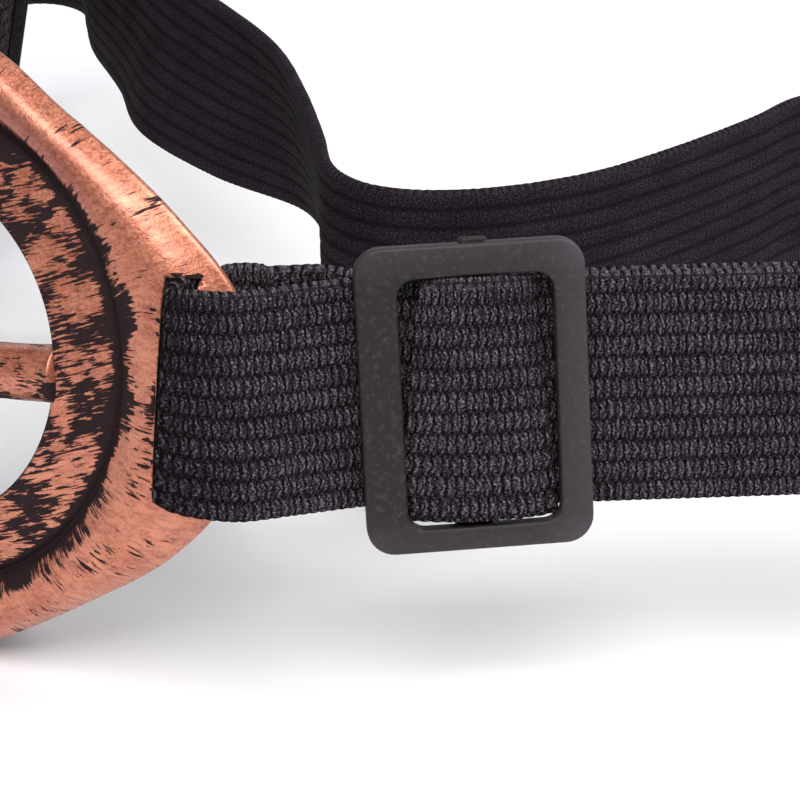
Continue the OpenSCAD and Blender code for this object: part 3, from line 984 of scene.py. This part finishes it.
# rows: along and forward in the cup's axes, lean, up, how much the strap is
# narrowed, and how far its upper edge runs ahead
THROUGH = [
    (36.6, -7.9, -9, 2.1, 1.0, -0.08), (35.1, -6.6, -4, 2.2, 1.3, -0.14),
    (34.15, -5, 0, 2.2, 1.3, -0.16), (33.85, -3.2, 0, 2.2, 1.3, -0.16),
    (33.85, -1.7, 3, 2.2, 1.3, -0.08), (34.6, -0.5, 7, 2.1, 1.2, 0.0),
    (36.3, -0.8, 9.5, 1.8, 0.9, 0.0),
]
LOOPS = {
    Side.LEFT: [(40.6, -11.8, -11, 1.3, 0.3, 0), (38.4, -9.9, -11, 1.8, 0.6, -0.04)] + THROUGH
    + [(38.3, -2.0, 10, 1.4, 0.5, -0.02), (40.5, -3.9, 11, 0.95, 0.5, 0),
       (42.7, -6.4, 11, 0.75, 0.5, 0), (44.7, -9.1, 11, 0.6, 0.4, 0)],
    Side.RIGHT: [(53, -7.2, -11, 0.3, 0, 0), (48, -9.3, -11, 0.7, 0.1, 0),
                 (44.5, -10.4, -11, 1.2, 0.3, 0), (41.2, -10.6, -11, 1.6, 0.4, 0),
                 (38.6, -9.7, -10, 1.9, 0.7, -0.04)] + THROUGH
    + [(38.3, -1.9, 10, 1.4, 0.5, -0.02), (40.6, -3.7, 11, 1.0, 0.5, 0),
       (43.2, -5.8, 11, 0.8, 0.4, 0), (46, -6.9, 11, 0.6, 0.3, 0), (49.5, -6.5, 11, 0.4, 0.2, 0),
       (54, -4.8, 11, 0.2, 0.1, 0)],
}
# rows: along and inward from the slot, then up and narrowed by where it matters
TAIL_STOPS = {
    Side.LEFT: [(d, 0.95) for d in (78, 60, 44, 36)]
    + [(32, 0.95, -0.2), (28, 0.95, -0.5), (24.5, 1.2, 0.0), (21, 1.8, 0.65), (17.5, 2.3, 1.2),
       (14.5, 2.5, 1.25, 0.2)],
    Side.RIGHT: [(d, 0.95) for d in (78, 60, 40, 30, 22)],
}
OUTER_STOPS = {
    Side.LEFT: [(22.5, -0.95, 0.35, 0.2), (27, -0.95, 0.1)]
    + [(d, -0.95) for d in (34, 46, 62, 78)],
    Side.RIGHT: [(d, -0.95) for d in (22.5, 27, 34, 46, 62, 78)],
}
# rows: place and lean
REAR_ROUTE = np.array([
    [86.6, 74.6, 34.9, 11], [89.5, 85, 34.8, 9], [91.8, 96, 33.6, 5], [92.5, 109, 30.2, 2],
    [90.5, 124, 24.6, 0], [83.5, 139, 18.4, 0], [72.5, 150, 14, 0], [58.5, 155, 13, 0],
    [43.5, 155, 13, 0], [30.5, 149, 16.4, 0], [22.5, 138, 22.4, 0], [20.5, 125, 28.4, 0],
    [22.5, 112, 33, 0], [27.5, 98.6, 34.5, 0], [32.6, 89.3, 34.5, 0], [37.3, 79.4, 34.5, 0],
    [41.1, 70.3, 34.5, 0], [44.1, 62, 34.5, 0], [45.5, 54.6, 34.5, 0], [45.7, 47.5, 34.5, 0],
    [44.5, 41, 34.5, 0], [41.5, 35.6, 34.5, 0], [36.5, 32.5, 34.5, 0], [28.9, 32.2, 34.5, 0],
    [16.7, 36.6, 34.5, 5], [-2.5, 42.2, 34.5, 10], [-21.5, 45.5, 34.5, 10],
    [-42.5, 41.8, 34.5, -9], [-64, 39.8, 34.5, -19], [-88, 41.3, 34.5, -9],
    [-112, 42.2, 34.5, -3], [-128, 44.3, 34.6, 2], [-138, 45.5, 34.7, 6],
    [-144.5, 43, 34.8, 9], [-146.3, 38.5, 34.9, 11], [-143, 34.8, 34.9, 11],
    [-138.0, 33.0, 34.9, 11],
])


def weave(along: np.ndarray, across: np.ndarray, width: float, ribs: float) -> tuple:
    """The elastic's surface relief.

    Rows of stitches run along the strap. Each row is a rounded ridge, broken
    at every stitch by a gap, and the gaps of the ridge's two halves lean
    towards each other like a plait. A finer bead of stitches runs along each
    edge.

    Args:
        along: distance along the strap, mm.
        across: distance from the centre line, mm.
        width: strap width, mm.
        ribs: 0 for full stitches, 1 for plain ribs.

    Returns:
        Height from 0 to 1.15, and the same held to 1 for the painted light and shade of the crests.
    """
    v = (across / width + 0.5) * ROWS
    part = v - np.floor(v)
    ridge = np.abs(np.sin(math.pi * part)) ** 0.75
    lean = np.abs(part - 0.5) * 0.55
    wob = 0.09 * smooth_noise(along * 0.35, across * 0.6, 31)
    step = along / STITCH + lean + wob + 0.5 * (np.floor(v) % 2) * 0.25
    stitch = np.abs(np.sin(math.pi * step)) ** 0.6
    uneven = 0.12 * smooth_noise(along * 1.7, across * 1.9, 17)
    body = (0.5 + 0.5 * ridge) * (ribs + (1 - ribs) * (0.25 + 0.75 * stitch)) + uneven * ridge
    edge = width / 2 - np.abs(across)
    bead = np.abs(np.sin(math.pi * (along / STITCH + 0.25))) ** 0.8
    rim = ramp(edge, 0.95, 0.55)
    height = body * (1 - rim) + rim * (0.3 + 0.7 * bead) * (1 - 0.4 * ribs)
    return np.clip(height, 0, 1.15), np.clip(height, 0, 1)


@dataclass
class Ribbon:
    """A length of woven elastic along a route.

    A route point is x, y, z and lean, then, where a route has them, how much
    the strap is narrowed and how far its upper edge runs ahead of its lower.
    """

    name: str
    route: np.ndarray
    width: float = STRAP_WIDTH
    thick: float = 1.5
    step: float = 0.3
    across: float = 0.25
    relief: float = 0.26
    ribs: float = 0.0
    start: float = 0.0
    back_step: float = 0.6
    calm: tuple = (0.0, 1.0, 0.0)

    def section(self) -> tuple:
        """Offsets across and through the strap, once round its section."""
        h, t = self.width / 2, self.thick / 2
        front = span(h - t, -h + t, self.across)
        rear = span(-h + t, h - t, self.back_step)
        q = np.radians(np.linspace(90, -90, 9))[1:-1]
        low_v, low_n = -h + t - t * np.cos(q), -t * np.sin(q)
        top_v, top_n = h - t + t * np.cos(q), t * np.sin(q)
        v = np.concatenate([front, low_v, rear, top_v])
        n = np.concatenate([-t + 0 * front, low_n, t + 0 * rear, top_n])
        return v, n

    def points(self) -> tuple:
        """Grid points and their two surface values.

        The route is spaced evenly, the section is carried square to it, and
        each face is pushed in or out along its own normal by the weave.

        Returns:
            Points, uv pairs and the shading value.
        """
        line = resample(self.route, self.step)
        tangent = np.gradient(line[:, :2], axis=0)
        tangent /= np.linalg.norm(tangent, axis=1)[:, None]
        left = np.stack([-tangent[:, 1], tangent[:, 0]], -1)
        lean = np.radians(line[:, 3])[:, None]
        pinch, shear = line[:, 4:].T if line.shape[1] > 4 else np.zeros((2, len(line)))
        up = np.hstack([left * np.sin(lean) + tangent * shear[:, None], np.cos(lean)])
        out = np.hstack([left * np.cos(lean), -np.sin(lean)])
        v, n = self.section()
        run = np.linspace(0, 1, len(line)) * self.length(line) + self.start
        s, vv = np.meshgrid(run, v, indexing="ij")
        height, shade = weave(s, vv, self.width, self.ribs)
        t = self.thick / 2
        face = n / t
        push = (height - LEVEL) * self.relief * face[None, :]
        side = np.where(np.abs(face) < 0.99, np.sign(v) * np.sqrt(1 - np.clip(face**2, 0, 1)), 0)
        vv2 = vv + (height - LEVEL) * self.relief * 0.6 * side[None, :]
        sway = 0.12 * smooth_noise(s * 0.12, vv * 0.02, 41)
        pts = (
            line[:, None, :3]
            + ((vv2 + sway) * (1 - pinch / self.width)[:, None])[..., None] * up[:, None]
            + (n[None, :] + push)[..., None] * out[:, None]
        )
        return pts, np.stack([s, vv], -1), shade

    @staticmethod
    def length(line: np.ndarray) -> float:
        """Length of a spaced route, mm."""
        return float(np.linalg.norm(np.diff(line[:, :3], axis=0), axis=1).sum())

    def build(self, material: bpy.types.Material, mirror: bool = False) -> bpy.types.Object:
        """Makes the ribbon.

        Args:
            material: what it is made of.
            mirror: true on the right side.

        Returns:
            The ribbon's object.
        """
        pts, uv, shade = self.points()
        calm = ramp(uv[..., 0], self.calm[1], self.calm[0]) * self.calm[2]
        if mirror:
            pts = pts * np.array([-1.0, 1, 1])
        girth = 2 * self.width + math.pi * self.thick
        # the weave's height, for the painted light and shade of its crests
        values = {"rise": shade, "calm": calm}
        grid = Grid(pts - ORIGIN, uv, wrap=(0, girth), cap_rows=True, values=values)
        return grid.build(self.name, material)


@dataclass
class StrapEnd:
    """The doubled end of the strap with its slider and keeper."""

    side: Side
    paints: Paintbox
    gap: float = 1.9
    slider_d: float = 33.8
    slider: tuple = (24.5, 33.3, 2.2)
    window: tuple = (16.6, 27.2)
    roll: float = 2.0
    HALF: ClassVar[float] = 0.75  # half the strap's thickness
    SPARE: ClassVar[float] = 0.4  # room between the strap and the slider

    @property
    def end(self) -> StrapFrame:
        """The frame of this strap end."""
        return ENDS[self.side]

    @property
    def front(self) -> float:
        """How far the slider's frame lies in front of the strap's middle, as a negative."""
        return -self.gap / 2 - self.HALF - self.SPARE

    def stop(self, lean: float, along: float, inward: float, up=0.0, pinch=0.0) -> list:
        """One straight-run route point, before mirroring."""
        k = math.radians(self.end.lean)
        x, y = self.end.plan(along, inward * math.cos(k))
        return [x, y, self.end.slot[2] - inward * math.sin(k) + up, lean, pinch, 0.0]

    def looped(self) -> list:
        """The route points through the slot, before mirroring."""
        cup = CUPS[self.side]
        return [
            [*cup.plan(p[0], p[1]), self.end.slot[2] + p[3], p[2], p[4], p[5]]
            for p in LOOPS[self.side]
        ]

    def halves(self) -> tuple:
        """The route as a tail half and an outer half that meet in the slot."""
        lean = self.end.lean
        tail = [self.stop(-lean, *p) for p in TAIL_STOPS[self.side]]
        outer = [self.stop(lean, *p) for p in OUTER_STOPS[self.side]]
        whole = np.array(tail + self.looped() + outer)
        k = len(tail) + LOOPS[self.side].index(THROUGH[3])
        return whole[: k + 1], whole[k:]

    def straps(self) -> list:
        """Both layers of the doubled end."""
        tail, outer = self.halves()
        p, mirror = self.side.label, self.side is Side.RIGHT
        near, cloth = not mirror, self.paints.get(ELASTIC)
        run = Ribbon.length(resample(outer, 0.5))
        layers = [
            Ribbon(f"{p}_strap_outer", outer, step=0.21 if near else 0.4,
                   across=0.2 if near else 0.4, start=-run,
                   calm=(3 - run, 17 - run, 0.55)).build(cloth, mirror),
            Ribbon(f"{p}_strap_tail", tail, step=0.26 if near else 0.45, across=0.6,
                   back_step=0.25 if near else 0.45, start=3.3).build(cloth, mirror),
        ]
        for obj in layers:
            hang(obj, self.side.body, f"{p}_strap")
        return layers

    def fold(self) -> bpy.types.Object:
        """The hump of strap in the slider's window."""
        rows = (
            (-6.7, -2.5), (-5.6, -3.1), (-3.2, -3.9), (0, -4.2), (3.4, -4.0), (6.2, -3.2), (7.4, -2.5),
        )
        lean = self.end.lean
        route = np.array([self.stop(lean, self.slider_d + a, b, -0.35)[:4] for a, b in rows])
        near = self.side is Side.LEFT
        fold = Ribbon(
            f"{self.side.label}_fold", route, width=FOLD_WIDTH, thick=1.3,
            step=0.12 if near else 0.4, across=0.16 if near else 0.4, start=9.0,
        ).build(self.paints.get(ELASTIC), not near)
        p = self.side.label
        hang(fold, f"{p}_slider", f"{p}_slider_fold")
        return fold

    def frame_piece(self) -> bpy.types.Object:
        """The slider's picture frame.

        A rounded section runs once round the gap between the outer and the
        inner rounded rectangle.
        """
        l, h, t = self.slider
        outer = round_rectangle(l / 2, h / 2, 3.0, (0, 0))
        inner = round_rectangle(self.window[0] / 2, self.window[1] / 2, 2.0, (0.55, -0.45))
        r = 0.45
        q = np.radians(np.arange(0, 91, 18))
        corner = np.stack([r - r * np.cos(q), -t + r - r * np.sin(q)], -1)
        width = np.linalg.norm(inner - outer, axis=1)
        back = np.stack([r - r * np.cos(q), -r + r * np.sin(q)], -1)
        lines = []
        for run, inside in ((corner, 0), (corner[::-1], 1), (back, 1), (back[::-1], 0)):
            for off, depth in run:
                share = np.where(inside, 1 - off / width, off / width)[:, None]
                flat = outer + (inner - outer) * share
                lines.append(np.stack([flat[:, 0], depth + 0 * flat[:, 0], flat[:, 1]], -1))
        pts = np.stack(lines, 1)
        x, z = turned(pts[..., 0], pts[..., 2], self.roll)
        bow = 0.1 * np.cos(x / 12.0 * 1.2)  # the frame's face is a little crowned
        pts = np.stack([x + self.slider_d, pts[..., 1] + self.front - bow + 0.1, z], -1)
        uv = np.stack([np.broadcast_to(np.arange(len(outer))[:, None], x.shape), x], -1)
        # painted light: the frame made lighter towards its right end and on its top and bottom bars,
        # where the light falls
        painted_light = 0.08 + 0.5 * ramp(x, 6, 12) + 0.35 * ramp(np.abs(z), 12.5, 15.5)
        grid = Grid(self.end.place(pts), uv.astype(float), close_rows=True, values={"painted_light": painted_light})
        return grid.build(f"{self.side.label}_slider_frame", self.paints.get(PLASTIC))

    def bent(self, name: str, boxes: list, radii: list, finish: Finish):
        """Joins soft-edged boxes into one piece.

        Args:
            name: the piece's name, without its side.
            boxes: pairs of opposite corners in the strap end's axes, mm.
            radii: each box's edge radius, mm.
            finish: its material's numbers.

        Returns:
            The piece.
        """
        objs = []
        for i, ((lo, hi), r) in enumerate(zip(boxes, radii)):
            pts = rounded_box(np.array(lo), np.array(hi), r)
            grid = Grid(self.end.place(pts), pts[..., :2].copy(), cap_rows=True)
            objs.append(grid.build(f"{name}_{i}", self.paints.get(finish)))
        return join(objs, f"{self.side.label}_{name}")

    def bar_piece(self) -> bpy.types.Object:
        """The slider's middle bar, its two short legs and the moulding mark."""
        front, d, top = self.front, self.slider_d - 2, self.slider[1] / 2
        boxes = [
            ((d, front - 0.4, -14.9), (d + 4, 4.2, -13.6)),
            ((d, front - 0.4, 13.1), (d + 4, 4.2, 14.4)),
            ((d, 2.0, -14.9), (d + 4, 4.2, 14.4)),
            ((d + 0.4, front - 1.7, top - 0.35), (d + 3.4, front - 0.5, top + 0.55)),
        ]
        return self.bent("slider_bar", boxes, [0.35] * 3 + [0.25], PLASTIC)

    def keeper(self) -> bpy.types.Object:
        """The bent metal clip round both layers, with its folded upper lip."""
        boxes = [
            ((70.4, -2.7, -13.65), (75.8, -2.05, 13.7)), ((70.1, 2.0, -13.65), (75.9, 2.7, 13.7)),
            ((70.1, -2.65, 13.05), (75.9, 2.65, 13.7)), ((70.6, -2.65, -13.7), (75.8, 2.65, -13.05)),
            ((69.25, -2.7, 13.02), (76.75, -0.6, 13.88)),
        ]
        return self.bent("keeper_clip", boxes, [0.3] * 5, METAL)

    def make(self) -> None:
        """Builds every piece of this strap end."""
        p = self.side.label
        for obj in self.straps():
            self.flat(obj)
        fold = self.fold()
        self.flat(fold)
        for obj in (self.frame_piece(), self.bar_piece()):
            hang(obj, f"{p}_slider", f"{p}_slider")
        hang(self.keeper(), f"{p}_keeper", f"{p}_keeper")

    @staticmethod
    def flat(obj: bpy.types.Object) -> tuple:
        """Width and length of a ribbon in metres, read from its own lay."""
        uv = np.empty(len(obj.data.uv_layers[0].data) * 2, np.float32)
        obj.data.uv_layers[0].data.foreach_get("uv", uv)
        run = uv.reshape(-1, 2)[:, 0]
        width = FOLD_WIDTH if "fold" in obj.name else STRAP_WIDTH
        return (width * MM, float(run.max() - run.min()) * MM)


def round_rectangle(a: float, b: float, r: float, centre: tuple) -> np.ndarray:
    """A closed rounded rectangle with matching point counts for any size.

    Args:
        a: half length.
        b: half height.
        r: corner radius.
        centre: its middle.

    Returns:
        Points, one per row.
    """
    arcs, out = [], []
    for k, (sx, sy) in enumerate([(1, 1), (-1, 1), (-1, -1), (1, -1)]):
        q = np.radians(90 * k + np.linspace(0, 90, 9))
        arcs.append(np.stack([sx * (a - r) + r * np.cos(q), sy * (b - r) + r * np.sin(q)], -1))
    t = np.linspace(0, 1, 14)[1:-1, None]
    for arc, after in zip(arcs, arcs[1:] + arcs[:1]):
        out += [arc, arc[-1] + (after[0] - arc[-1]) * t]
    return np.vstack(out) + np.array(centre)


def rounded_box(lo: np.ndarray, hi: np.ndarray, r: float) -> np.ndarray:
    """A box with softened edges as rings along its longest side.

    Args:
        lo: lowest corner.
        hi: highest corner.
        r: edge radius.

    Returns:
        Rings of points.
    """
    size, middle = hi - lo, (lo + hi) / 2
    axis = int(np.argmax(size))
    others = [k for k in range(3) if k != axis]
    t, soft = np.array([0, 0.3, 1.0]) * r, np.array([0, 0.7, 1.0])
    places = np.concatenate([lo[axis] + t, hi[axis] - t[::-1]])
    rings = []
    for place, cut in zip(places, r * (1 - np.concatenate([soft, soft[::-1]]))):
        half = size[others] / 2 - cut
        flat = round_rectangle(half[0], half[1], min(r, half.min() * 0.95), (0, 0))
        ring = np.full((len(flat), 3), place)
        ring[:, others] = flat + middle[others]
        rings.append(ring)
    return np.stack(rings)


def join(objs: list, name: str) -> bpy.types.Object:
    """Joins closed meshes into one object.

    Args:
        objs: the objects, which are used up.
        name: the new object's name.

    Returns:
        The joined object.
    """
    with bpy.context.temp_override(active_object=objs[0], selected_editable_objects=objs):
        bpy.ops.object.join()
    objs[0].name = name
    return objs[0]


def rear_strap(paints: Paintbox) -> None:
    """The long middle of the strap, built in one fixed shape; the real one bends as the goggles fold.
    """
    strap = Ribbon(
        "rear_strap_cloth", REAR_ROUTE, step=0.6, across=0.3, back_step=0.3, relief=0.24,
        ribs=0.55,
    ).build(paints.get(REAR_ELASTIC))
    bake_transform(strap)
    hang(strap, None, "rear_strap")
    StrapEnd.flat(strap)


def bridge(paints: Paintbox) -> None:
    """The rubber band over the nose."""
    cup = CUPS[Side.LEFT]
    half = [cup.plan(-29.6, 0.5), cup.plan(-32.6, 0.4), cup.plan(-36.4, -1.6), (3.4, -43.8)]
    whole = half + [(-x, y) for x, y in half[::-1]]
    route = np.array([[x, y, cup.centre[2], -cup.lean] for x, y in whole])
    band = Ribbon("bridge_band", route, width=14, thick=1.8, step=0.3, across=0.5, relief=0.0)
    pts, uv, _ = band.points()
    girth = 31  # once round the band, mm
    grid = Grid(pts - ORIGIN, uv, wrap=(0, girth), cap_rows=True)
    obj = grid.build(band.name, paints.get(RUBBER))
    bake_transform(obj)
    hang(obj, None, "bridge_strap")


# -------------------------------------------------------------------- stage


@dataclass(frozen=True)
class Shot:
    """The photograph's viewpoint, in mm from the nose line and the slot."""

    target: tuple = (70.3, 25.0, 33.8)
    azimuth: float = 68.0
    elevation: float = 24.0
    distance: float = 262.0
    lens: float = 109.65

    def place(self) -> None:
        """Puts the scene's camera at the viewpoint."""
        a, e = math.radians(self.azimuth), math.radians(self.elevation)
        back = Vector((math.sin(a) * math.cos(e), -math.cos(a) * math.cos(e), math.sin(e)))
        target = Vector(np.array(self.target) - ORIGIN) * MM
        data = bpy.data.cameras.new("shot")
        data.lens, data.sensor_width = self.lens, 36.0
        data.clip_start, data.clip_end = 0.01, 20
        camera = show("shot", data)
        camera.location = target + back * self.distance * MM
        camera.rotation_euler = (-back).to_track_quat("-Z", "Y").to_euler()
        bpy.context.scene.camera = camera


def lamp(name: str, place: tuple, target: tuple, size: float, power: float, tint=(1, 1, 1)) -> None:
    """Adds a square area lamp.

    Args:
        name: its name.
        place: where it hangs, metres.
        target: what it faces, metres.
        size: edge length, metres.
        power: watts.
        tint: colour.
    """
    data = bpy.data.lights.new(name, "AREA")
    data.energy, data.size, data.color = power, size, tint
    obj = show(name, data)
    obj.location = place
    obj.rotation_euler = (Vector(target) - Vector(place)).to_track_quat("-Z", "Y").to_euler()


def studio(paints: Paintbox) -> None:
    """A white room: pale floor, white surroundings and soft lamps."""
    scene = bpy.context.scene
    scene.view_settings.view_transform = "Standard"
    world = bpy.data.worlds.new("white_room")
    world.use_nodes = True
    g = Graph(world.node_tree)
    soft = of_type(world, "BACKGROUND")
    g.feed(soft, {"Color": (0.93, 0.95, 1.0, 1), "Strength": 0.42})
    white = g.add("Background", None, Color=(1, 1, 1, 1), Strength=1.0)
    rays = g.add("LightPath")
    seen = g.math("MAXIMUM", rays.outputs["Is Camera Ray"], rays.outputs["Is Transmission Ray"])
    both = g.add("MixShader", None, i0=seen, i1=soft.outputs[0], i2=white.outputs[0])
    g.feed(of_type(world, "OUTPUT_WORLD"), {"Surface": both.outputs[0]})
    scene.world = world
    bpy.ops.mesh.primitive_plane_add(size=6, location=(0, 0, 0))
    floor = bpy.context.active_object
    floor.name = "floor"
    material, g, shader = paints.start("floor_paper")
    g.feed(shader, {"Base Color": (0.93, 0.92, 0.94, 1), "Roughness": 0.9})
    floor.data.materials.append(material)
    lamp("key", (0.5, -0.2, 0.75), (0.09, -0.02, 0.02), 0.6, 6.6, (1.0, 0.99, 0.98))
    lamp("back", (0.2, 0.45, 0.6), (0.08, -0.02, 0.03), 0.4, 3.6, (1.0, 0.99, 0.97))


def main() -> None:
    """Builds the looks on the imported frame."""
    logging.basicConfig(level=logging.INFO, format="%(name)s %(message)s")
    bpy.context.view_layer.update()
    paints = Paintbox()
    for side in Side:
        Eyecup(side, paints).make()
        StrapEnd(side, paints).make()
    rear_strap(paints)
    bridge(paints)
    Shot().place()
    studio(paints)
    bpy.context.view_layer.update()


if __name__ == "__main__":
    main()
